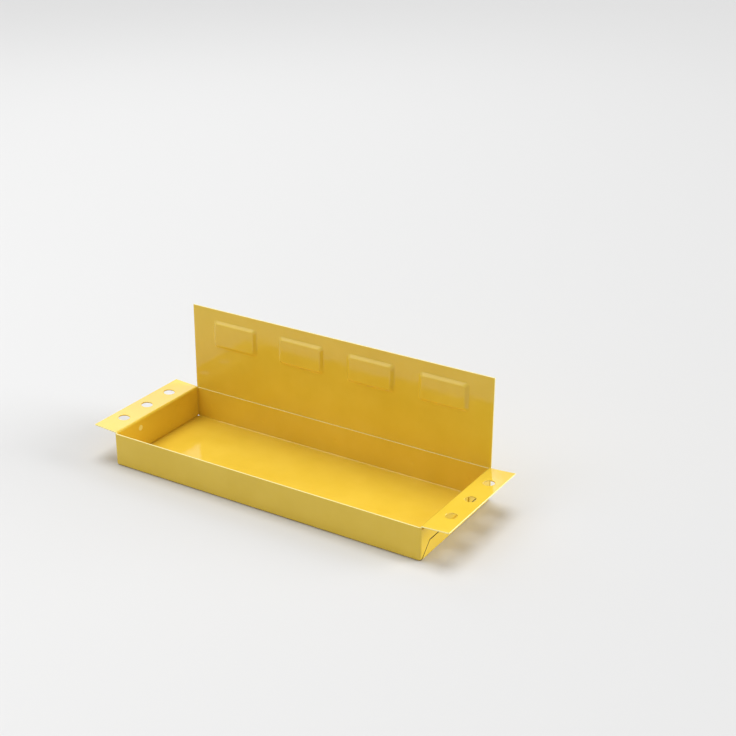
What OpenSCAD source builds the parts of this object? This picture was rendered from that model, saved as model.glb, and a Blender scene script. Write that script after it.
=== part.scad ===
// Magnetic tool tray: a shallow folded-steel pan with two folded end pieces, each with a drilled
// flange, spot-welded to an upright back plate that holds four magnets in pockets pressed into it.
// Millimetres. +X runs along the tray, -Y is its open front, +Z is up, and the underside is at zero.
// The origin is the middle of the underside's outline, taken over the whole tray.

/* [Pan] */
// Length of the pan over its folded corners
pan_length = 295; // [260:1:360]
// Depth of the pan from the face of the front wall to the back of the rear wall
pan_depth = 112; // [96:1:150]
// Height of the front and rear walls
wall_height = 29; // [25:1:40]
// Thickness of the sheet steel
sheet = 1; // [0.8:0.1:1.5]
// Inside radius of every fold
fold_radius = 1; // [0.8:0.1:1.6]
// Clearance where the edge of one sheet passes another
clearance = 0.15; // [0.1:0.05:0.3]

/* [Ends of the pan] */
// Length of each corner tongue from the face of its wall
tongue_length = 36; // [30:1:44]
// Distance from the top of the wall down to the top of a tongue
tongue_drop = 2; // [1.8:0.1:3]
// Height of the strip that the floor turns up along each end
strip_height = 12.6; // [10:0.2:15]
// Gap between a strip's mitred edge and the tongue beside and above it
mitre_gap = 1; // [0.4:0.1:1.6]

/* [End pieces] */
// How far each end piece's flange reaches past the pan
flange_reach = 22.5; // [20:0.5:30]
// Angle by which the flanges tilt up towards their tips
flange_tilt = 3.5; // [0:0.5:8]
// Height of a flange's top face above the wall's edge, beside its fold
flange_rise = 1; // [0.6:0.1:1.5]
// Diameter of the tool holes
hole_diameter = 9.5; // [6:0.5:12]
// Distance between the centres of neighbouring tool holes
hole_pitch = 30.5; // [20:0.5:36]
// Distance from a flange's tip to its row of holes, along the sheet
hole_inset = 11.5; // [9:0.5:13]
// Number of tool holes in each flange
hole_count = 3; // [1:1:3]

/* [Back plate] */
// Height of the back plate's top edge above the base
plate_height = 108; // [92:1:140]
// Height of the back plate's lower edge above the base
plate_foot = 2.5; // [2:0.5:6]
// Width of each raised pad where it leaves the plate
pad_width = 45; // [38:1:52]
// Height of each raised pad where it leaves the plate
pad_height = 25; // [20:1:30]
// How far the pads stand out of the plate
pad_rise = 2.5; // [1.5:0.1:3.5]
// Radius of the corners of each pad's raised face
pad_corner = 1; // [0.8:0.1:4]
// Distance from each end of the plate in to the centre of its nearest pad
pad_margin = 44.75; // [32:0.25:50]
// Distance from the plate's top edge down to the centres of the pads
pad_drop = 22.5; // [18:0.5:28]

/* [Magnets] */
// Thickness of each magnet block
magnet_thickness = 4; // [3.5:0.1:6]
// Room left all round a magnet at the floor of its pocket
magnet_clearance = 1; // [0.5:0.1:2]
// Radius of the magnets' upright edges
magnet_corner = 1; // [0.5:0.1:2]
// Thickness of the adhesive pad under each magnet
adhesive_thickness = 0.4; // [0.2:0.1:0.6]
// Distance from a magnet's edge in to the edge of its adhesive pad
adhesive_inset = 1.5; // [0.5:0.1:3]
// Thickness of the cover film on each magnet's face
film_thickness = 0.4; // [0.2:0.1:0.8]

/* [Spot welds] */
// Diameter of the dimple that each spot weld leaves
weld_diameter = 5; // [3:0.5:7]
// Depth of the dimple that each spot weld leaves
weld_depth = 0.2; // [0.1:0.05:0.3]
// Distance from the end of a tongue back to its spot weld
weld_inset = 5; // [4:0.5:9]
// Distance from the top of the wall down to the tongues' spot welds
weld_drop = 7; // [6:0.5:9]

/* [Hidden] */
$fn = 96;

// Each cut runs on past the face that it opens
overrun = 1;
// The four pads' centres, as shares of half the row's length
pad_row_shares = [-1, -1 / 3, 1 / 3, 1];
// The welds that join the back plate to the rear wall, as shares of half the pan's length
plate_weld_shares = [-0.88, -0.51, 0, 0.51, 0.88];
// The welds that join a strip to its end piece, as shares of half the pan's depth
strip_weld_shares = [-0.3, 0.3];

outer_radius = fold_radius + sheet;
half_length = pan_length / 2;
half_depth = pan_depth / 2;
end_face = half_length - sheet;

// Where the magnet stack ends, behind the plate's back
pocket_depth = pad_rise;
magnet_proud = adhesive_thickness + magnet_thickness + film_thickness - pocket_depth;
tray_depth = pan_depth + sheet + magnet_proud;
front_y = -tray_depth / 2;
rear_y = front_y + pan_depth;
pan_y = front_y + half_depth;
plate_back_y = rear_y + sheet;

// Flange fold: its centre, the start of the flat on its top face, and the length of that flat
flange_fold_x = end_face + fold_radius;
flange_fold_z = wall_height + flange_rise - outer_radius;
flange_tip_x = half_length + flange_reach;
flange_flat = (flange_tip_x - flange_fold_x + fold_radius * sin(flange_tilt)) / cos(flange_tilt);
flange_width = pan_depth - 2 * (sheet + clearance);
end_wall_width = pan_depth - 2 * (outer_radius + clearance);
end_foot = outer_radius + clearance;

// A pad's walls slope at 45 degrees, so its face is smaller than its root, and its pocket's floor is
// smaller again by what the thickness of the sloping sheet takes, to the nearest hundredth
face_width = pad_width - 2 * pad_rise;
face_height = pad_height - 2 * pad_rise;
pocket_shrink = round(100 * sheet * (sqrt(2) - 1)) / 100;
floor_width = face_width - 2 * pocket_shrink;
floor_height = face_height - 2 * pocket_shrink;
pocket_corner = pad_corner - pocket_shrink;
pocket_floor_y = plate_back_y - pocket_depth;
magnet_width = floor_width - 2 * magnet_clearance;
magnet_height = floor_height - 2 * magnet_clearance;
magnet_y = pocket_floor_y + adhesive_thickness;
film_y = magnet_y + magnet_thickness;
pad_z = plate_height - pad_drop;
half_row = half_length - pad_margin;

tongue_top = wall_height - tongue_drop;
tongue_low = strip_height + mitre_gap;
// Half of the mitred gap, measured level at 45 degrees and to the nearest tenth
mitre_shift = round(10 * mitre_gap / sqrt(2)) / 10;
tongue_weld_y = half_depth - tongue_length + weld_inset;
tongue_weld_z = wall_height - weld_drop;
strip_weld_z = (outer_radius + strip_height) / 2;
plate_weld_z = wall_height / 2;
// A sphere of this radius leaves a dimple of the welds' diameter and depth
weld_ball = (pow(weld_diameter / 2, 2) + pow(weld_depth, 2)) / (2 * weld_depth);

yellow = [0.86, 0.68, 0.20];
ferrite = [0.17, 0.17, 0.18];
foam = [0.88, 0.88, 0.85];
vinyl = [0.09, 0.09, 0.10];

// Draws a shape given in Y and Z, and extends it to both sides along X
module along_x(length) {
    rotate([90, 0, 90])
        linear_extrude(height = length, center = true)
            children();
}

// Draws a shape given in X and Z, and extends it to both sides along Y
module along_y(length) {
    rotate([90, 0, 0])
        linear_extrude(height = length, center = true)
            children();
}

// Upright rectangle with its two lower corners rounded
module trough(width, height, radius) {
    translate([-width / 2, radius])
        square([width, height - radius]);
    translate([-width / 2 + radius, 0])
        square([width - 2 * radius, radius * 2]);
    for (side = [-1, 1])
        translate([side * (width / 2 - radius), radius])
            circle(radius);
}

// Rectangle with four round corners, centred on the origin
module round_plan(width, depth, radius) {
    square([width - 2 * radius, depth], center = true);
    square([width, depth - 2 * radius], center = true);
    for (x = [-1, 1], y = [-1, 1])
        translate([x * (width / 2 - radius), y * (depth / 2 - radius)])
            circle(radius);
}

// Solid block with its lower edges and its upright edges folded round
module folded_block(width, depth, height, radius) {
    intersection() {
        along_x(pan_length)
            trough(depth, height, radius);
        along_y(pan_depth)
            trough(width, height, radius);
        linear_extrude(height = height)
            round_plan(width, depth, radius);
    }
}

// Floor, walls and closed ends, one sheet thick
module folded_shell() {
    difference() {
        folded_block(pan_length, pan_depth, wall_height, outer_radius);
        translate([0, 0, sheet])
            folded_block(pan_length - 2 * sheet, pan_depth - 2 * sheet, wall_height, fold_radius);
    }
}

// What is open in the front half of an end, seen from that end and measured back from the front wall's face:
// the gap between strip and tongue, mitred at the corner, then the window behind the tongue
module end_opening_outline() {
    polygon([
        [mitre_shift - overrun, -overrun],
        [strip_height + mitre_shift, strip_height],
        [half_depth + overrun, strip_height],
        [half_depth + overrun, wall_height + overrun],
        [sheet, wall_height + overrun],
        [sheet, tongue_top],
        [tongue_length, tongue_top],
        [tongue_length, tongue_low],
        [tongue_low - mitre_shift, tongue_low],
        [-overrun, mitre_shift - overrun],
    ]);
}

// Cutter for the front half of the right-hand end, which leaves the tongue and the strip standing
module end_opening() {
    translate([half_length + overrun / 2 - outer_radius / 2, -half_depth, 0])
        along_x(outer_radius + overrun)
            end_opening_outline();
}

// Right-hand flange in section: the fold at the head of the end piece's wall, then the tilted flat
module flange_section() {
    translate([flange_fold_x, flange_fold_z]) {
        intersection() {
            difference() {
                circle(outer_radius);
                circle(fold_radius);
            }
            polygon([
                [0, 0],
                [-2 * outer_radius, 0],
                [-2 * outer_radius, 2 * outer_radius],
                [-2 * outer_radius * sin(flange_tilt), 2 * outer_radius * cos(flange_tilt)],
            ]);
        }
        rotate(flange_tilt)
            translate([0, fold_radius])
                square([flange_flat, sheet]);
    }
}

// Tool holes of the right-hand flange, square to its tilted sheet
module flange_holes() {
    for (i = [0 : hole_count - 1])
        translate([flange_fold_x, (i - (hole_count - 1) / 2) * hole_pitch, flange_fold_z])
            rotate([0, -flange_tilt, 0])
                translate([flange_flat - hole_inset, 0, fold_radius - overrun])
                    cylinder(d = hole_diameter, h = sheet + 2 * overrun);
}

// Right-hand end piece: an upright wall inside the pan's end, with the flange folded out of its head
module end_piece() {
    difference() {
        union() {
            along_y(end_wall_width)
                translate([end_face - sheet, end_foot])
                    square([sheet, flange_fold_z - end_foot]);
            along_y(flange_width)
                flange_section();
        }
        flange_holes();
        end_dimples(end_face - sheet, -1);
    }
}

// Shallow round dent in a face at z = 0 that looks along +Z
module weld_dimple() {
    intersection() {
        translate([0, 0, weld_ball - weld_depth])
            sphere(weld_ball);
        translate([0, 0, -weld_depth])
            cylinder(d = 2 * weld_diameter, h = weld_depth + overrun);
    }
}

// Weld dimples of the right-hand end, on an upright face at the given X that looks outwards (1) or
// inwards (-1)
module end_dimples(face_x, side) {
    for (y = [-1, 1])
        translate([face_x, y * tongue_weld_y, tongue_weld_z])
            rotate([0, 90 * side, 0])
                weld_dimple();
    for (share = strip_weld_shares)
        translate([face_x, share * half_depth, strip_weld_z])
            rotate([0, 90 * side, 0])
                weld_dimple();
}

// Row of weld dimples along X, on an upright face at the given Y that looks to the front (-1) or the
// back (1)
module plate_dimples(face_y, side) {
    for (share = plate_weld_shares)
        translate([share * half_length, face_y, plate_weld_z])
            rotate([-90 * side, 0, 0])
                weld_dimple();
}

module pan() {
    color(yellow)
        translate([0, pan_y, 0])
            difference() {
                folded_shell();
                for (x = [0, 1], y = [0, 1])
                    mirror([x, 0, 0])
                        mirror([0, y, 0])
                            end_opening();
                for (x = [0, 1])
                    mirror([x, 0, 0])
                        end_dimples(half_length, 1);
                plate_dimples(half_depth - sheet, -1);
            }
}

module right_end() {
    color(yellow)
        translate([0, pan_y, 0])
            end_piece();
}

module left_end() {
    color(yellow)
        translate([0, pan_y, 0])
            mirror([1, 0, 0])
                end_piece();
}

// Rectangle with round corners that grows by 45 degrees on every side as it runs along +Y, from y = 0
module pressed_pad(width, height, corner, length) {
    translate([0, length, 0])
        linear_extrude(height = height - 2 * corner, center = true)
            pad_section(width, length);
    translate([0, length, 0])
        rotate([0, 90, 0])
            linear_extrude(height = width - 2 * corner, center = true)
                pad_section(height, length);
    for (x = [-1, 1], z = [-1, 1])
        translate([x * (width / 2 - corner), 0, z * (height / 2 - corner)])
            rotate([-90, 0, 0])
                cylinder(r1 = corner, r2 = corner + length, h = length);
}

// Section through a pressed pad, its narrow side on the far side of the origin
module pad_section(width, length) {
    polygon([
        [-width / 2 - length, 0],
        [-width / 2, -length],
        [width / 2, -length],
        [width / 2 + length, 0],
    ]);
}

module back_plate() {
    color(yellow)
        difference() {
            union() {
                translate([-half_length, rear_y, plate_foot])
                    cube([pan_length, sheet, plate_height - plate_foot]);
                for (share = pad_row_shares)
                    translate([share * half_row, rear_y - pad_rise, pad_z])
                        pressed_pad(face_width, face_height, pad_corner, pad_rise + sheet / 2);
            }
            for (share = pad_row_shares)
                translate([share * half_row, pocket_floor_y, pad_z])
                    pressed_pad(floor_width, floor_height, pocket_corner, pocket_depth + overrun);
            plate_dimples(plate_back_y, 1);
        }
}

// Flat block with round upright edges, its front face at the given Y
module block(place, y, width, height, thickness, radius) {
    translate([pad_row_shares[place - 1] * half_row, y + thickness / 2, pad_z])
        along_y(thickness)
            round_plan(width, height, radius);
}

module magnet(place) {
    color(ferrite)
        block(place, magnet_y, magnet_width, magnet_height, magnet_thickness, magnet_corner);
}

module adhesive_pad(place) {
    color(foam)
        block(place, pocket_floor_y, magnet_width - 2 * adhesive_inset, magnet_height - 2 * adhesive_inset,
              adhesive_thickness, magnet_corner);
}

module cover_film(place) {
    color(vinyl)
        block(place, film_y, magnet_width, magnet_height, film_thickness, magnet_corner);
}

pan();
back_plate();
left_end();
right_end();
magnet(1);  // magnet_1
magnet(2);  // magnet_2
magnet(3);  // magnet_3
magnet(4);  // magnet_4
adhesive_pad(1);  // adhesive_pad_1
adhesive_pad(2);  // adhesive_pad_2
adhesive_pad(3);  // adhesive_pad_3
adhesive_pad(4);  // adhesive_pad_4
cover_film(1);  // cover_film_1
cover_film(2);  // cover_film_2
cover_film(3);  // cover_film_3
cover_film(4);  // cover_film_4
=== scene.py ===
import math
from contextlib import contextmanager

import bmesh
import bpy
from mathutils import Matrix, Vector


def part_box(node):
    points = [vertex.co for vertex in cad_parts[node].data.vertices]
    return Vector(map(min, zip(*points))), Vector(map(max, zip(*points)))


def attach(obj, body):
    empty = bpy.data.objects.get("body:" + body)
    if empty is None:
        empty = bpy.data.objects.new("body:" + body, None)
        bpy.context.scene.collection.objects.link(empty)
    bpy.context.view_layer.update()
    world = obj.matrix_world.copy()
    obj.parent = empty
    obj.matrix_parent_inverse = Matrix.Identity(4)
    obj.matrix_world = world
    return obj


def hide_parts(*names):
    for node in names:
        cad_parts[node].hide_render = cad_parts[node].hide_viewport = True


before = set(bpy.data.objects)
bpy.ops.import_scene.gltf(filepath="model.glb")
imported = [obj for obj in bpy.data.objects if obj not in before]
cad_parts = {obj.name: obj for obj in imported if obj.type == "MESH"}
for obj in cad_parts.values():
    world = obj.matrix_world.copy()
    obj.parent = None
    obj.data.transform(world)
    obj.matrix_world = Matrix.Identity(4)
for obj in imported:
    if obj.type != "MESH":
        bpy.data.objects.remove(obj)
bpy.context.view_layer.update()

# Lengths are metres, in the part's own frame: X runs along the tray, -Y is its front, Z is up.
PAN_LOW, PAN_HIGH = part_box("pan")
PLATE_LOW, PLATE_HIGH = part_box("back_plate")
END_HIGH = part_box("right_end")[1]
MAGNET_NUMBERS = (1, 2, 3, 4)

# The sheet and its folds
SHEET = 0.001
FOLD_INSIDE = 0.001
FOLD_OUTSIDE = FOLD_INSIDE + SHEET
FOLD_STEPS = 8
CLEARANCE = 0.00015

# Rounding of cut edges
EDGE_ROUNDING = 0.00035
PAN_EDGE_ROUNDING = 0.00025
ROUNDING_STEPS = 3

# The pan, centred on its own middle while it is modelled
PAN_MIDDLE_Y = (PAN_HIGH.y + PAN_LOW.y) / 2
HALF_DEPTH = (PAN_HIGH.y - PAN_LOW.y) / 2
HALF_LENGTH = PLATE_HIGH.x
WALL_HEIGHT = 0.029
END_FACE = HALF_LENGTH - SHEET
FLOOR_END_X = HALF_LENGTH - FOLD_OUTSIDE
FLOOR_END_Y = HALF_DEPTH - FOLD_OUTSIDE

# Strips turned up along the ends, and the tongues above them. Tongues are measured back from the front wall's
# face, and heights from the base. The mitred gap runs up and back from the corner along the diagonal, and its
# two sides lie above and below that diagonal by the shift.
TONGUE_LENGTH = 0.036
TONGUE_DROP = 0.002
TONGUE_TOP = WALL_HEIGHT - TONGUE_DROP
STRIP_HEIGHT = 0.0126
MITRE_GAP = 0.001
MITRE_SHIFT = 0.0007
TONGUE_LOW = STRIP_HEIGHT + MITRE_GAP

# End pieces, whose flanges are a step wider than their walls
END_FOOT = FOLD_OUTSIDE + CLEARANCE
END_WALL_HALF = HALF_DEPTH - FOLD_OUTSIDE - CLEARANCE
FLANGE_HALF = HALF_DEPTH - SHEET - CLEARANCE
FLANGE_TILT = math.radians(3.5)
FLANGE_FOLD_X = END_FACE + FOLD_INSIDE
FLANGE_FOLD_Z = WALL_HEIGHT - FOLD_INSIDE
FLANGE_STEP_DROP = 0.0006
FLANGE_STEP_Z = FLANGE_FOLD_Z - FLANGE_STEP_DROP
FLANGE_REACH = END_HIGH.x - FLANGE_FOLD_X + FOLD_INSIDE * math.sin(FLANGE_TILT)
FLANGE_LENGTH = FLANGE_REACH / math.cos(FLANGE_TILT)
HOLE_RADIUS = 0.00475
HOLE_SIDES = 64
HOLE_ROWS = (-1, 0, 1)
HOLE_PITCH = 0.0305
HOLE_INSET = 0.0115
HOLE_CUT = 6 * SHEET

# Spot welds, each pressed by a lens whose radius is a share of the weld's
WELD_RADIUS = 0.0025
WELD_DEPTH = 0.0003
LENS_SHARE = 1.6
LENS_STEPS = 32
TONGUE_WELD_INSET = 0.005
TONGUE_WELD_DROP = 0.007
TONGUE_WELD_Y = HALF_DEPTH - TONGUE_LENGTH + TONGUE_WELD_INSET
TONGUE_WELD_Z = WALL_HEIGHT - TONGUE_WELD_DROP
STRIP_WELD_SHARE = 0.3
STRIP_WELD_Y = STRIP_WELD_SHARE * HALF_DEPTH
STRIP_WELD_Z = (FOLD_OUTSIDE + STRIP_HEIGHT) / 2
PLATE_WELD_Z = WALL_HEIGHT / 2
PLATE_WELD_SHARES = (-0.88, -0.51, 0, 0.51, 0.88)

# Pressed pads
PAD_ROOT = Vector((0.045, 0, 0.025))
PAD_RISE = 0.0025
PAD_CORNER = 0.0022
PAD_CORNER_STEPS = 5
PAD_BEND = 0.0007
PAD_BEND_STEPS = 3

# Magnets and cover films
BLOCK_CORNER = 0.001
BLOCK_CORNER_STEPS = 6
MAGNET_ROUNDING = 0.0003
FILM_ROUNDING = 0.00012

# Colours in steps from 0 to 255. Where there are two, a mottle runs from the first to the second.
PAINT = ((236, 200, 62), (242, 207, 72))
# Pale painted highlight, laid on cut edges and in the front weld hollows
HIGHLIGHT_PAINT = (255, 242, 160)
# Dark painted shade, laid inside the seam gaps
DARK_SEAM = ((42, 36, 24), (66, 57, 40))
FERRITE = ((44, 44, 46), (78, 78, 81))
VINYL = ((22, 22, 24), (36, 36, 39))
FOAM = ((200, 199, 190), (234, 233, 226))
PALE_GREY = (216, 216, 216)

# How much rougher the seam gaps are than the paint, and how much ferrite's grinding lines are drawn out along
# X
SEAM_ROUGHER = 0.45
GRINDING_SHARE = 0.06

# Surroundings: the floor's size, the point that the lamps face, and the brightness of the pale surround, as
# it lights the tray and as it is seen
FLOOR_SIZE = 80
LAMP_AIM = (0, 0, 0.03)
SURROUND_LIGHT = 0.34
SURROUND_SEEN = 0.84

# The camera, with its turns in degrees, and its lens and sensor in millimetres
CAMERA_PLACE = (0.60151, -0.87640, 0.57258)
CAMERA_TURNS = (66.113, -0.295, 31.603)
CAMERA_LENS = 71.248
CAMERA_SENSOR = 36

# Angles between faces, from which shading and rounding take an edge for a sharp one
SMOOTH_ANGLE = math.radians(32)
RIM_ANGLE = math.radians(50)
BEND_ANGLE = RIM_ANGLE / 2

# How far a face looks along X, as a share: below the first it looks sideways, above the second endways
SIDEWAYS = 0.5
ENDWAYS = 0.8

# Pull of large faces on the shading of small ones, from 0 to 100
FACE_WEIGHT = 80

# Distance within which places count as one, and the point from which meshes are sorted
NEAR = 1e-5
SORT_POINT = (0.31, 0.17, 0.23)


def deselect():
    """Leaves no object selected."""
    bpy.ops.object.select_all(action="DESELECT")


def only(piece):
    """Makes a piece the only selected one, and the active one."""
    deselect()
    piece.select_set(True)
    bpy.context.view_layer.objects.active = piece


@contextmanager
def editing(piece):
    """Edit mode on one piece, with all of it selected at first."""
    only(piece)
    bpy.ops.object.mode_set(mode="EDIT")
    bpy.ops.mesh.select_all(action="SELECT")
    yield
    bpy.ops.object.mode_set(mode="OBJECT")


def settle():
    """Puts the place, turn and size of what is selected into its mesh."""
    bpy.ops.object.transform_apply(location=True, rotation=True, scale=True)


def start_piece(name):
    """Names the primitive that was just added, and settles it."""
    piece = bpy.context.object
    piece.name = piece.data.name = name
    settle()
    return piece


def start_sheet(name, size, middle, rotation=(0, 0, 0)):
    """Flat rectangular sheet, given by its size along each axis and its middle."""
    deselect()
    bpy.ops.mesh.primitive_plane_add(size=1, rotation=rotation)
    bpy.ops.transform.resize(value=size)
    bpy.ops.transform.translate(value=middle)
    return start_piece(name)


def pick(piece, kind, wanted):
    """In edit mode, selects only the corners, edges or faces that pass the test."""
    kinds = ("verts", "edges", "faces")
    bpy.context.tool_settings.mesh_select_mode = [kind == other for other in kinds]
    mesh = bmesh.from_edit_mesh(piece.data)
    for part in (*mesh.verts, *mesh.edges, *mesh.faces):
        part.select = False
    for part in getattr(mesh, kind):
        if wanted(part):
            part.select_set(True)
    mesh.select_flush_mode()
    bmesh.update_edit_mesh(piece.data)


def corners(test):
    """Turns a test of a point into a test of an edge or face, all of whose corners have to pass it."""
    return lambda part: all(test(corner.co) for corner in part.verts)


def pull(x=0.0, y=0.0, z=0.0):
    """In edit mode, extrudes what is selected by a distance."""
    bpy.ops.mesh.extrude_region_move(TRANSFORM_OT_translate={"value": (x, y, z)})


def slide(piece, wanted, shift):
    """In edit mode, moves only the corners that pass the test."""
    pick(piece, "verts", lambda corner: wanted(corner.co))
    bpy.ops.transform.translate(value=shift)


def fold(degrees, centre, axis):
    """In edit mode, sweeps the selected edges round an axis, as a folding press does."""
    bpy.ops.mesh.spin(steps=FOLD_STEPS, angle=math.radians(degrees), center=centre, axis=axis)


def score(place, direction):
    """In edit mode, scores a line right across a piece, in the plane that looks in a direction."""
    bpy.ops.mesh.select_all(action="SELECT")
    bpy.ops.mesh.bisect(plane_co=place, plane_no=direction)


def use_modifier(piece, kind, **settings):
    """Adds a modifier, sets it and applies it."""
    modifier = piece.modifiers.new(kind.lower(), kind)
    for key, value in settings.items():
        setattr(modifier, key, value)
    only(piece)
    bpy.ops.object.modifier_apply(modifier=modifier.name)


def mirror_quarter(piece):
    """Mirrors a quarter to the other three."""
    use_modifier(piece, "MIRROR", use_axis=(True, True, False), merge_threshold=NEAR)


def thicken(piece, side):
    """Gives a sheet its thickness: 1 is the side that its faces look to, and -1 the side behind them."""
    use_modifier(piece, "SOLIDIFY", thickness=SHEET, offset=side, use_even_offset=True,
                 use_quality_normals=True)


def merge_and_face(piece, looks_right):
    """Merges doubled corners and makes all faces look the same way, the one for which the test holds."""
    with editing(piece):
        bpy.ops.mesh.remove_doubles(threshold=NEAR)
        bpy.ops.mesh.normals_make_consistent(inside=False)
        if not looks_right(bmesh.from_edit_mesh(piece.data)):
            bpy.ops.mesh.flip_normals()


def looks_out(mesh):
    """True if the faces of a closed mesh look outwards."""
    return mesh.calc_volume(signed=True) > 0


def join(pieces):
    """Joins pieces into the first one."""
    only(pieces[0])
    for piece in pieces:
        piece.select_set(True)
    bpy.ops.object.join()
    return pieces[0]


def fix_order(piece):
    """Sorts a mesh by distance from a point off to one side. A cut leaves it in an order that changes from
    run to run, and the merging that follows would keep other corners each time."""
    cursor = bpy.context.scene.cursor
    with editing(piece):
        cursor.location = SORT_POINT
        bpy.ops.mesh.sort_elements(type="CURSOR_DISTANCE", elements={"VERT", "EDGE", "FACE"})
        cursor.location = (0, 0, 0)


def cut_away(piece, cutter):
    """Subtracts a cutter from a piece, and deletes the cutter."""
    use_modifier(piece, "BOOLEAN", operation="DIFFERENCE", solver="EXACT", object=cutter)
    bpy.data.objects.remove(cutter)
    fix_order(piece)


def close_cracks(piece):
    """Merges the hair-fine slivers that the cuts leave."""
    with editing(piece):
        bpy.ops.mesh.remove_doubles(threshold=NEAR)
        bpy.ops.mesh.dissolve_degenerate(threshold=NEAR)


def soften_edges(piece, width):
    """Rounds the cut edges of a piece a little, as paint does."""
    use_modifier(piece, "BEVEL", width=width, segments=ROUNDING_STEPS, limit_method="ANGLE",
                 angle_limit=RIM_ANGLE, loop_slide=False)


def round_off(width, steps):
    """In edit mode, rounds the selected edges."""
    bpy.ops.mesh.bevel(offset=width, segments=steps, affect="EDGES")


def finish_piece(piece, material):
    """Smooths the shading, so that flat faces stay flat beside their folds, and dresses the piece."""
    close_cracks(piece)
    bpy.ops.object.shade_smooth_by_angle(angle=SMOOTH_ANGLE)
    use_modifier(piece, "WEIGHTED_NORMAL", keep_sharp=True, weight=FACE_WEIGHT)
    dress(piece, material)
    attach(piece, "root")


def dress(piece, material):
    """Makes a material the only one of a piece."""
    piece.data.materials.clear()
    piece.data.materials.append(material)


def fold_up_front_wall(piece):
    """Front wall with its floor fold, turned round the corner by an upright fold."""
    pick(piece, "edges", corners(lambda p: abs(p.y + FLOOR_END_Y) < NEAR))
    fold(90, (0, -FLOOR_END_Y, FOLD_OUTSIDE), (1, 0, 0))
    pull(z=WALL_HEIGHT - FOLD_OUTSIDE)
    pick(piece, "edges", corners(lambda p: abs(p.x - FLOOR_END_X) < NEAR and p.y < NEAR - FLOOR_END_Y))
    fold(-90, (FLOOR_END_X, -FLOOR_END_Y, 0), (0, 0, 1))


def fold_up_end(piece):
    """End of the pan, still whole: the tongues and the strip are parted from it later."""
    pick(piece, "edges", corners(lambda p: abs(p.x - FLOOR_END_X) < NEAR and p.y > -FLOOR_END_Y - NEAR
                                 and abs(p.z) < NEAR))
    fold(90, (FLOOR_END_X, 0, FOLD_OUTSIDE), (0, 1, 0))
    pull(z=WALL_HEIGHT - FOLD_OUTSIDE)


def floor_looks_up(mesh):
    """True if the faces of the pan's floor look up, towards what the tray holds."""
    on_floor = corners(lambda p: abs(p.z) < NEAR)
    return all(face.normal.z > 0 for face in mesh.faces if on_floor(face))


def end_cutters():
    """Cutters for both ends: the window between the tongues, the gap above the strip, and its mitres."""
    front = TONGUE_LENGTH - HALF_DEPTH
    top = WALL_HEIGHT + SHEET
    cutter = start_sheet("end_cutter", (1, -front, top - STRIP_HEIGHT),
                         (FLOOR_END_X, front / 2, (top + STRIP_HEIGHT) / 2), (0, math.radians(90), 0))
    past_corner = TONGUE_LOW - MITRE_SHIFT + SHEET
    with editing(cutter):
        for height in (TONGUE_LOW, TONGUE_TOP):
            score((0, 0, height), (0, 0, 1))
        pick(cutter, "edges", corners(lambda p: abs(p.y - front) < NEAR and p.z > TONGUE_TOP - NEAR))
        pull(y=SHEET - TONGUE_LENGTH)
        pick(cutter, "edges", corners(lambda p: abs(p.y - front) < NEAR and p.z < TONGUE_LOW + NEAR))
        pull(y=TONGUE_LOW - MITRE_SHIFT - TONGUE_LENGTH)
        slide(cutter, lambda p: p.y < front - NEAR and abs(p.z - STRIP_HEIGHT) < NEAR,
              (0, 2 * MITRE_SHIFT - MITRE_GAP, 0))
        pick(cutter, "edges", corners(lambda p: p.y < front - NEAR and p.z < TONGUE_LOW + NEAR))
        pull(y=-past_corner, z=-past_corner)
        slide(cutter, lambda p: p.y < -HALF_DEPTH and p.z < -SHEET + MITRE_SHIFT - NEAR,
              (0, MITRE_GAP, MITRE_GAP))
        bpy.ops.mesh.select_all(action="SELECT")
        pull(x=FOLD_OUTSIDE + SHEET)
        pick(cutter, "faces", corners(lambda p: abs(p.y) < NEAR))
        bpy.ops.mesh.delete(type="FACE")
    mirror_quarter(cutter)
    merge_and_face(cutter, looks_out)
    return cutter


def up_flange(distance):
    """Steps along X and Z that lead out along the tilted right-hand flange by a distance."""
    return distance * math.cos(FLANGE_TILT), distance * math.sin(FLANGE_TILT)


def hole_cutters():
    """Three round cutters, square to the tilted right-hand flange."""
    cutters = []
    reach, rise = up_flange(FLANGE_LENGTH - HOLE_INSET)
    for row in HOLE_ROWS:
        deselect()
        bpy.ops.mesh.primitive_cylinder_add(
            vertices=HOLE_SIDES, radius=HOLE_RADIUS, depth=HOLE_CUT, rotation=(0, -FLANGE_TILT, 0),
            location=(FLANGE_FOLD_X + reach, row * HOLE_PITCH, FLANGE_FOLD_Z + rise + FOLD_OUTSIDE))
        cutters.append(start_piece("hole_cutter"))
    return join(cutters)


def dimple_cutters(welds):
    """Shallow lens for each weld, which is a point and the direction in which the face there looks."""
    radius = LENS_SHARE * WELD_RADIUS
    sink = math.sqrt(1 - (WELD_RADIUS / radius) ** 2)
    thickness = WELD_DEPTH / (1 - sink)
    cutters = []
    for point, direction in welds:
        deselect()
        bpy.ops.mesh.primitive_uv_sphere_add(segments=LENS_STEPS, ring_count=LENS_STEPS, radius=1)
        bpy.ops.transform.resize(value=(radius, radius, thickness))
        cutter = start_piece("dimple_cutter")
        cutter.rotation_euler = Vector(direction).to_track_quat("Z", "Y").to_euler()
        cutter.location = Vector(point) + Vector(direction) * thickness * sink
        only(cutter)
        settle()
        cutters.append(cutter)
    return join(cutters)


def end_welds(x, direction):
    """Welds of one end on an upright face, given by the face's X and the way it looks along X."""
    return [((x, side * y, z), (direction, 0, 0)) for side in (-1, 1)
            for y, z in ((TONGUE_WELD_Y, TONGUE_WELD_Z), (STRIP_WELD_Y, STRIP_WELD_Z))]


def plate_welds(y, direction):
    """Welds of the rear wall and the back plate, given by the face's Y and the way it looks along Y."""
    return [((share * HALF_LENGTH, y, PLATE_WELD_Z), (0, direction, 0)) for share in PLATE_WELD_SHARES]


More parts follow.
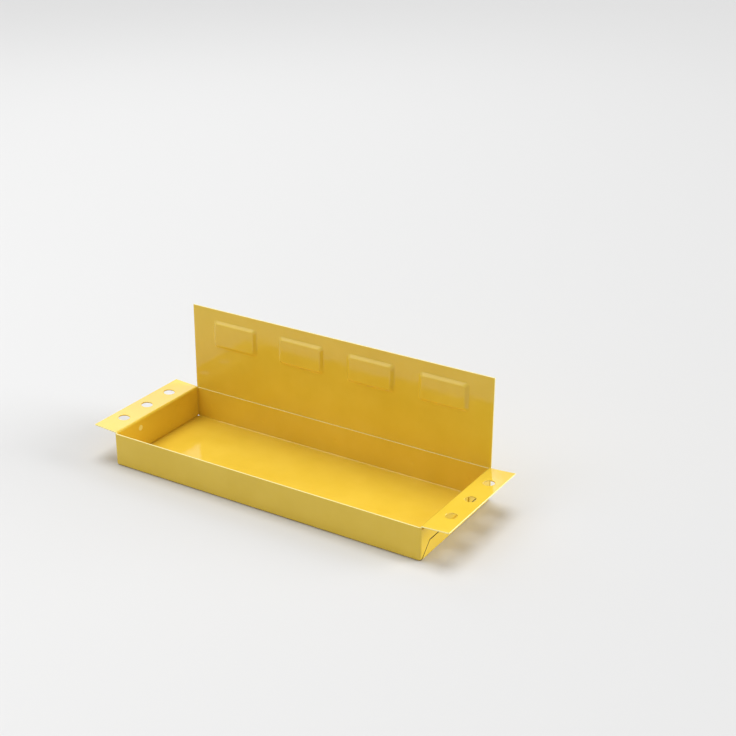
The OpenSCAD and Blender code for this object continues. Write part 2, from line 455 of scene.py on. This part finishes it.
def by_mitre(back, height):
    """True for a place on a mitred gap's sides, given by its distance back from the wall and its height."""
    return abs(height - back) < MITRE_SHIFT + 2 * NEAR and height < TONGUE_LOW + NEAR


def by_gap(height):
    """True for the height of the gap between a strip and its tongues."""
    return STRIP_HEIGHT - NEAR < height < TONGUE_LOW + NEAR


def left_sharp(edge):
    """True for edges of the pan's gaps, and for those at the corners where a cut crosses a fold."""
    places = [(abs(corner.co.x), HALF_DEPTH - abs(corner.co.y), corner.co.z) for corner in edge.verts]
    in_mitre = all(by_mitre(back, height) for _, back, height in places)
    in_gap = all(by_gap(height) for _, _, height in places)
    in_foot = any(x > FLOOR_END_X - NEAR and max(back, height) < 2 * FOLD_OUTSIDE
                  for x, back, height in places)
    in_head = any(x > FLOOR_END_X + NEAR and back < SHEET + NEAR and height > TONGUE_TOP - NEAR
                  for x, back, height in places)
    return in_mitre or in_gap or in_foot or in_head


def soften_pan_edges(pan):
    """Rounds the pan's cut edges, except those that are left sharp."""
    def cut_edge(edge):
        return edge.is_manifold and edge.calc_face_angle() > RIM_ANGLE and not left_sharp(edge)

    with editing(pan):
        pick(pan, "edges", cut_edge)
        round_off(PAN_EDGE_ROUNDING, ROUNDING_STEPS)


def mark_faces(piece, name, wanted):
    """Gives the faces that pass the test the value 1 in a named attribute, which the powder coat reads."""
    marks = piece.data.attributes.new(name, "FLOAT", "FACE")
    for face, mark in zip(piece.data.polygons, marks.data):
        mark.value = float(wanted(face))


def in_seam(face):
    """True inside the gaps between a strip and its tongues, where the dark painted shade goes."""
    back, height = HALF_DEPTH - abs(face.center.y), face.center.z
    in_gap = by_gap(height) and back < TONGUE_LENGTH - NEAR
    in_end = FLOOR_END_X < abs(face.center.x) < HALF_LENGTH - NEAR
    return in_end and abs(face.normal.x) < SIDEWAYS and (by_mitre(back, height) or in_gap)


def in_front_weld(face):
    """True in the hollow that the welding tip leaves inside an end piece, behind the front tongue."""
    away = math.hypot(face.center.y + TONGUE_WELD_Y, face.center.z - TONGUE_WELD_Z)
    inside = abs(face.center.x) > END_FACE - SHEET + NEAR
    return inside and away < WELD_RADIUS and face.normal.x < -ENDWAYS


def beyond(x=math.inf, y=math.inf, z=math.inf):
    """Test for the cut edges of a sheet, which lie further out than some distance."""
    def on_cut_edge(face):
        middle = face.center
        return abs(middle.x) > x or abs(middle.y) > y or middle.z > z
    return on_cut_edge


def shift_to_pan(piece):
    """Moves a piece that was modelled round the pan's own middle to where the pan is."""
    only(piece)
    bpy.ops.transform.translate(value=(0, PAN_MIDDLE_Y, 0))
    settle()


def make_pan(material):
    """The folded pan: one sheet with a front and a rear wall, tongues that turn round the corners, and a
    strip turned up along each end. It starts as the front right quarter of its floor."""
    pan = start_sheet("pan_body", (FLOOR_END_X, FLOOR_END_Y, 1), (FLOOR_END_X / 2, -FLOOR_END_Y / 2, 0))
    with editing(pan):
        fold_up_front_wall(pan)
        fold_up_end(pan)
    mirror_quarter(pan)
    merge_and_face(pan, floor_looks_up)
    thicken(pan, 1)
    cut_away(pan, end_cutters())
    close_cracks(pan)
    soften_pan_edges(pan)
    welds = plate_welds(HALF_DEPTH - SHEET, -1)
    for side in (-1, 1):
        welds += end_welds(side * HALF_LENGTH, side)
    cut_away(pan, dimple_cutters(welds))
    # Dark painted shade inside the gaps between the strips and their tongues
    mark_faces(pan, "seam_shade", in_seam)
    # Pale painted highlight on the pan's cut edges along its rim
    mark_faces(pan, "painted_highlight", beyond(z=WALL_HEIGHT - PAN_EDGE_ROUNDING))
    shift_to_pan(pan)
    finish_piece(pan, material)
    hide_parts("pan")


def end_blank():
    """Upright sheet for the right end, scored beside its wall, with a flange folded out of its head."""
    end = start_sheet("end_flange_right", (1, 2 * FLANGE_HALF, FLANGE_FOLD_Z - END_FOOT),
                      (END_FACE, 0, (FLANGE_FOLD_Z + END_FOOT) / 2), (0, math.radians(90), 0))
    reach, rise = up_flange(FLANGE_LENGTH)

    def beside_wall(face):
        middle = face.calc_center_median()
        return abs(middle.y) > END_WALL_HALF and middle.z < FLANGE_STEP_Z

    with editing(end):
        for y in (-END_WALL_HALF, END_WALL_HALF):
            score((0, y, 0), (0, 1, 0))
        score((0, 0, FLANGE_STEP_Z), (0, 0, 1))
        pick(end, "edges", corners(lambda p: abs(p.z - FLANGE_FOLD_Z) < NEAR))
        fold(math.degrees(FLANGE_TILT) - 90, (FLANGE_FOLD_X, 0, FLANGE_FOLD_Z), (0, 1, 0))
        pull(x=reach, z=rise)
        pick(end, "faces", beside_wall)
        bpy.ops.mesh.delete(type="FACE")
    return end


def wall_looks_out(mesh):
    """True if the lowest face of the right end looks away from the pan."""
    return min(mesh.faces, key=lambda face: face.calc_center_median().z).normal.x > 0


def make_end_pieces(material):
    """The sheets inside both ends of the pan, with drilled flanges. The left one mirrors the right one."""
    end = end_blank()
    merge_and_face(end, wall_looks_out)
    thicken(end, -1)
    cut_away(end, hole_cutters())
    soften_edges(end, EDGE_ROUNDING)
    cut_away(end, dimple_cutters(end_welds(END_FACE - SHEET, -1)))
    on_cut_edge = beyond(x=END_HIGH.x - EDGE_ROUNDING, y=FLANGE_HALF - EDGE_ROUNDING)
    # Pale painted highlight on the flange's cut edges and in the front weld hollow
    mark_faces(end, "painted_highlight", lambda face: on_cut_edge(face) or in_front_weld(face))
    shift_to_pan(end)
    only(end)
    bpy.ops.object.duplicate()
    other = bpy.context.object
    other.name = other.data.name = "end_flange_left"
    bpy.ops.transform.resize(value=(-1, 1, 1))
    settle()
    merge_and_face(other, looks_out)
    for piece, node in ((end, "right_end"), (other, "left_end")):
        finish_piece(piece, material)
        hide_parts(node)


def pad_middles():
    """Middle of each pressed pad, taken from the magnet behind it."""
    middles = []
    for number in MAGNET_NUMBERS:
        low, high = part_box(f"magnet_{number}")
        middles.append((low + high) / 2)
    return middles


def plate_blank():
    """Flat upright sheet, its front face against the pan's rear wall, scored where the pads are pressed."""
    plate = start_sheet("back_sheet", (PLATE_HIGH.x - PLATE_LOW.x, 1, PLATE_HIGH.z - PLATE_LOW.z),
                        (0, PAN_HIGH.y, (PLATE_LOW.z + PLATE_HIGH.z) / 2), (math.radians(90), 0, 0))
    middles = pad_middles()
    with editing(plate):
        for middle in middles:
            for side in (-1, 1):
                score((middle.x + side * PAD_ROOT.x / 2, 0, 0), (1, 0, 0))
        for side in (-1, 1):
            score((0, 0, middles[0].z + side * PAD_ROOT.z / 2), (0, 0, 1))
    return plate


def in_pad(p):
    """True for a point within the root of one of the pads."""
    return any(abs(p.x - middle.x) < PAD_ROOT.x / 2 + NEAR and abs(p.z - middle.z) < PAD_ROOT.z / 2 + NEAR
               for middle in pad_middles())


def corner_line(edge):
    """True for the edges that run up a pad's corners, from its root to its face."""
    low, high = sorted(corner.co.y for corner in edge.verts)
    return abs(low - PAN_HIGH.y + PAD_RISE) < NEAR and abs(high - PAN_HIGH.y) < NEAR


def bend_line(edge):
    """True for the edges round a pad's face and round its root."""
    first, second = (corner.co for corner in edge.verts)
    if len(edge.link_faces) != 2 or abs(first.y - second.y) > NEAR or not (in_pad(first) and in_pad(second)):
        return False
    return edge.link_faces[0].normal.angle(edge.link_faces[1].normal) > BEND_ANGLE


def press_pads(plate):
    """Presses the pads forward with sloping sides, rounds their corners, then bends their edges softly."""
    with editing(plate):
        pick(plate, "faces", lambda face: in_pad(face.calc_center_median()))
        bpy.ops.mesh.inset(thickness=PAD_RISE, depth=PAD_RISE)
        pick(plate, "edges", corner_line)
        round_off(PAD_CORNER, PAD_CORNER_STEPS)
        pick(plate, "edges", bend_line)
        round_off(PAD_BEND, PAD_BEND_STEPS)


def largest_looks_forward(mesh):
    """True if the largest face of the back plate looks forward."""
    return max(mesh.faces, key=lambda face: face.calc_area()).normal.y < 0


def make_back_plate(material):
    """The upright sheet behind the pan, with four pads pressed forward and a pocket behind each."""
    plate = plate_blank()
    press_pads(plate)
    merge_and_face(plate, largest_looks_forward)
    thicken(plate, -1)
    soften_edges(plate, EDGE_ROUNDING)
    cut_away(plate, dimple_cutters(plate_welds(PAN_HIGH.y + SHEET, 1)))
    # Pale painted highlight on the plate's cut edges
    mark_faces(plate, "painted_highlight", beyond(x=HALF_LENGTH - EDGE_ROUNDING, z=PLATE_HIGH.z - EDGE_ROUNDING))
    finish_piece(plate, material)
    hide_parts("back_plate")


def make_block(name, node, rounding, material):
    """Flat block with rounded corners that fills a CAD node's box."""
    low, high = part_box(node)
    deselect()
    bpy.ops.mesh.primitive_cube_add(size=1)
    bpy.ops.transform.resize(value=high - low)
    bpy.ops.transform.translate(value=(low + high) / 2)
    block = start_piece(name)
    with editing(block):
        pick(block, "edges", lambda edge: abs(edge.verts[0].co.y - edge.verts[1].co.y) > NEAR)
        round_off(BLOCK_CORNER, BLOCK_CORNER_STEPS)
    soften_edges(block, rounding)
    finish_piece(block, material)
    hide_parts(node)


def make_magnets(ferrite, vinyl):
    """Magnet blocks with their cover films."""
    for number in MAGNET_NUMBERS:
        make_block(f"magnet_block_{number}", f"magnet_{number}", MAGNET_ROUNDING, ferrite)
        make_block(f"magnet_film_{number}", f"cover_film_{number}", FILM_ROUNDING, vinyl)


def link(tree, source, target):
    """Links one socket to another."""
    tree.links.new(source, target)


def feed(tree, value, socket):
    """Sets a socket to a number or colour, or links it to a socket that carries one."""
    if isinstance(value, (int, float, tuple)):
        socket.default_value = value
    else:
        link(tree, value, socket)


def add_node(tree, kind, **inputs):
    """Adds a shader node and sets its named inputs, with _ for each space in a name."""
    node = tree.nodes.new(kind)
    for key, value in inputs.items():
        node.inputs[key.replace("_", " ")].default_value = value
    return node


def start_material(name):
    """New material with its Principled shader and object coordinates."""
    material = bpy.data.materials.new(name)
    material.use_nodes = True
    tree = material.node_tree
    place = tree.nodes.new("ShaderNodeTexCoord").outputs["Object"]
    return material, tree, tree.nodes["Principled BSDF"], place


def srgb(red, green, blue):
    """Colour given in 0 to 255 steps, as the shader's linear values."""
    def linear(step):
        share = step / 255
        return share / 12.92 if share <= 0.04045 else ((share + 0.055) / 1.055) ** 2.4
    return (linear(red), linear(green), linear(blue), 1)


def grain_group():
    """Fine grain, for every finish: a mottle for the tone, a roughness and a height that follow one noise."""
    group = bpy.data.node_groups.new("fine grain", "ShaderNodeTree")
    group.interface.new_socket("Place", in_out="INPUT", socket_type="NodeSocketVector")
    for name in ("Cells per metre", "Smoothest", "Roughest", "Depth"):
        group.interface.new_socket(name, in_out="INPUT", socket_type="NodeSocketFloat")
    for name in ("Mottle", "Roughness", "Height"):
        group.interface.new_socket(name, in_out="OUTPUT", socket_type="NodeSocketFloat")
    given = group.nodes.new("NodeGroupInput").outputs
    result = group.nodes.new("NodeGroupOutput").inputs
    noise = add_node(group, "ShaderNodeTexNoise", Detail=3, Roughness=0.55)
    link(group, given["Place"], noise.inputs["Vector"])
    link(group, given["Cells per metre"], noise.inputs["Scale"])
    for start, end, wanted in ((0, 1, "Mottle"), (given["Smoothest"], given["Roughest"], "Roughness"),
                               (0, given["Depth"], "Height")):
        spread = add_node(group, "ShaderNodeMapRange", From_Min=0.3, From_Max=0.7)
        link(group, noise.outputs["Fac"], spread.inputs["Value"])
        feed(group, start, spread.inputs["To Min"])
        feed(group, end, spread.inputs["To Max"])
        link(group, spread.outputs["Result"], result[wanted])
    return group


def grain(tree, place, cells, smoothest=0.0, roughest=1.0, depth=0.0):
    """The grain group placed in a material, with its cells per metre and its depth in metres."""
    node = tree.nodes.new("ShaderNodeGroup")
    node.node_tree = bpy.data.node_groups.get("fine grain") or grain_group()
    link(tree, place, node.inputs["Place"])
    for name, value in (("Cells per metre", cells), ("Smoothest", smoothest), ("Roughest", roughest),
                        ("Depth", depth)):
        node.inputs[name].default_value = value
    return node.outputs


def blend(tree, factor, first, second):
    """Mixes two colours, each a colour or a socket that carries one."""
    mix = tree.nodes.new("ShaderNodeMix")
    mix.data_type = "RGBA"
    link(tree, factor, mix.inputs["Factor"])
    feed(tree, first, mix.inputs["A"])
    feed(tree, second, mix.inputs["B"])
    return mix.outputs["Result"]


def mottled(tree, factor, colours):
    """Mixes two colours given in 0 to 255 steps."""
    return blend(tree, factor, srgb(*colours[0]), srgb(*colours[1]))


def combine(tree, operation, first, second):
    """Does sums with two values, each a number or a socket."""
    node = tree.nodes.new("ShaderNodeMath")
    node.operation = operation
    feed(tree, first, node.inputs[0])
    feed(tree, second, node.inputs[1])
    return node.outputs[0]


def finish_material(tree, shader, colour, roughness, height):
    """Gives a shader its colour, its roughness, and a height in metres that tilts its surface."""
    link(tree, colour, shader.inputs["Base Color"])
    link(tree, roughness, shader.inputs["Roughness"])
    bump = add_node(tree, "ShaderNodeBump", Strength=1.0, Distance=1.0)
    link(tree, height, bump.inputs["Height"])
    link(tree, bump.outputs["Normal"], shader.inputs["Normal"])


def marked(tree, name):
    """Value of a face attribute, which is 0 on a piece that doesn't have it."""
    mark = tree.nodes.new("ShaderNodeAttribute")
    mark.attribute_name = name
    return mark.outputs["Fac"]


def powder_coat():
    """Glossy yellow powder coat: orange peel on a slightly wavy sheet, with a pale painted highlight on cut
    edges and in the front weld hollows, and dark painted shade inside the seam gaps."""
    material, tree, shader, place = start_material("yellow powder coat")
    drift = grain(tree, place, cells=28, smoothest=0.07, roughest=0.12, depth=0.00007)
    peel = grain(tree, place, cells=420, depth=0.0000055)
    # Masks for the dark painted shade in the seam gaps and for the pale painted highlight on edges and weld
    # hollows
    shaded, glint = marked(tree, "seam_shade"), marked(tree, "painted_highlight")
    paint = blend(tree, glint, mottled(tree, drift["Mottle"], PAINT), srgb(*HIGHLIGHT_PAINT))
    colour = blend(tree, shaded, paint, mottled(tree, peel["Mottle"], DARK_SEAM))
    rougher = combine(tree, "MULTIPLY", shaded, SEAM_ROUGHER)
    finish_material(tree, shader, colour, combine(tree, "ADD", drift["Roughness"], rougher),
                    combine(tree, "ADD", drift["Height"], peel["Height"]))
    return material


def ferrite():
    """Dull dark grey sintered ferrite, ground flat with fine lines along X."""
    material, tree, shader, place = start_material("sintered ferrite")
    lines = add_node(tree, "ShaderNodeMapping", Scale=(GRINDING_SHARE, 1, 1))
    link(tree, place, lines.inputs["Vector"])
    pores = grain(tree, place, cells=900, smoothest=0.42, roughest=0.62, depth=0.000012)
    grinding = grain(tree, lines.outputs["Vector"], cells=2600, depth=0.000006)
    tone = combine(tree, "MULTIPLY", combine(tree, "ADD", pores["Mottle"], grinding["Mottle"]), 0.5)
    finish_material(tree, shader, mottled(tree, tone, FERRITE), pores["Roughness"],
                    combine(tree, "ADD", pores["Height"], grinding["Height"]))
    return material


def grained(name, colours, **settings):
    """Material whose tone, roughness and height all follow one grain."""
    material, tree, shader, place = start_material(name)
    fine = grain(tree, place, **settings)
    finish_material(tree, shader, mottled(tree, fine["Mottle"], colours), fine["Roughness"], fine["Height"])
    return material


def vinyl():
    """Black satin vinyl film with a fine grain."""
    return grained("black vinyl film", VINYL, cells=1100, smoothest=0.34, roughest=0.5, depth=0.00001)


def foam():
    """Off-white adhesive foam with fine pores."""
    return grained("adhesive foam", FOAM, cells=1400, smoothest=0.78, roughest=0.92, depth=0.00004)


def dress_adhesive_pads(material):
    """The adhesive pads keep their CAD solids, which are almost hidden, and get the foam."""
    for number in MAGNET_NUMBERS:
        dress(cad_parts[f"adhesive_pad_{number}"], material)


def make_floor():
    """Plain pale floor, which isn't part of the tray."""
    deselect()
    bpy.ops.mesh.primitive_plane_add(size=FLOOR_SIZE)
    floor = start_piece("floor")
    material, _, shader, _ = start_material("pale floor")
    for name, value in (("Base Color", srgb(*PALE_GREY)), ("Roughness", 1.0), ("Specular IOR Level", 0.1)):
        shader.inputs[name].default_value = value
    dress(floor, material)


def hang_lamp(light, place):
    """Hangs a lamp at a place and turns it to face the tray."""
    lamp = bpy.data.objects.new(light.name, light)
    lamp.location = place
    lamp.rotation_euler = (Vector(LAMP_AIM) - Vector(place)).to_track_quat("-Z", "Y").to_euler()
    bpy.context.scene.collection.objects.link(lamp)


def add_softbox(name, place, size, radiance):
    """Rectangular softbox, given by how bright its face looks."""
    light = bpy.data.lights.new(name, "AREA")
    light.shape = "RECTANGLE"
    light.size, light.size_y = size
    light.energy = radiance * math.pi * size[0] * size[1]
    hang_lamp(light, place)


def add_far_lamp(name, place, degrees, strength):
    """Large lamp so far away that it lights the floor evenly, given by how wide it looks."""
    light = bpy.data.lights.new(name, "SUN")
    light.angle = math.radians(degrees)
    light.energy = strength
    hang_lamp(light, place)


def light_scene():
    """Soft studio light: far lamps overhead and low behind the right end, a softbox behind the left end, one
    over the front left, and an even surround."""
    add_far_lamp("overhead", place=(-0.3, 0.4, 2.6), degrees=35, strength=1.65)
    add_far_lamp("side", place=(1.3, 0.9, 0.5), degrees=42, strength=2.3)
    add_softbox("rim", place=(-1.16, 1.13, 1.09), size=(1.4, 0.45), radiance=1.5)
    add_softbox("brow", place=(-0.80, -0.68, 1.32), size=(1.4, 1.0), radiance=1.55)
    world = bpy.data.worlds.new("studio")
    world.use_nodes = True
    tree = world.node_tree
    surround = tree.nodes["Background"]
    surround.inputs["Color"].default_value = (1, 1, 1, 1)
    path = tree.nodes.new("ShaderNodeLightPath").outputs
    seen = combine(tree, "MAXIMUM", path["Is Camera Ray"], path["Is Glossy Ray"])
    extra = combine(tree, "MULTIPLY", seen, SURROUND_SEEN - SURROUND_LIGHT)
    link(tree, combine(tree, "ADD", extra, SURROUND_LIGHT), surround.inputs["Strength"])
    bpy.context.scene.world = world


def place_camera():
    """Camera at the photograph's viewpoint."""
    camera = bpy.data.cameras.new("camera")
    camera.sensor_width = CAMERA_SENSOR
    camera.lens = CAMERA_LENS
    holder = bpy.data.objects.new("camera", camera)
    holder.location = CAMERA_PLACE
    holder.rotation_euler = [math.radians(turn) for turn in CAMERA_TURNS]
    bpy.context.scene.collection.objects.link(holder)
    bpy.context.scene.camera = holder


yellow = powder_coat()
make_pan(yellow)
make_end_pieces(yellow)
make_back_plate(yellow)
make_magnets(ferrite(), vinyl())
dress_adhesive_pads(foam())
make_floor()
light_scene()
place_camera()
bpy.context.scene.view_settings.view_transform = "Standard"
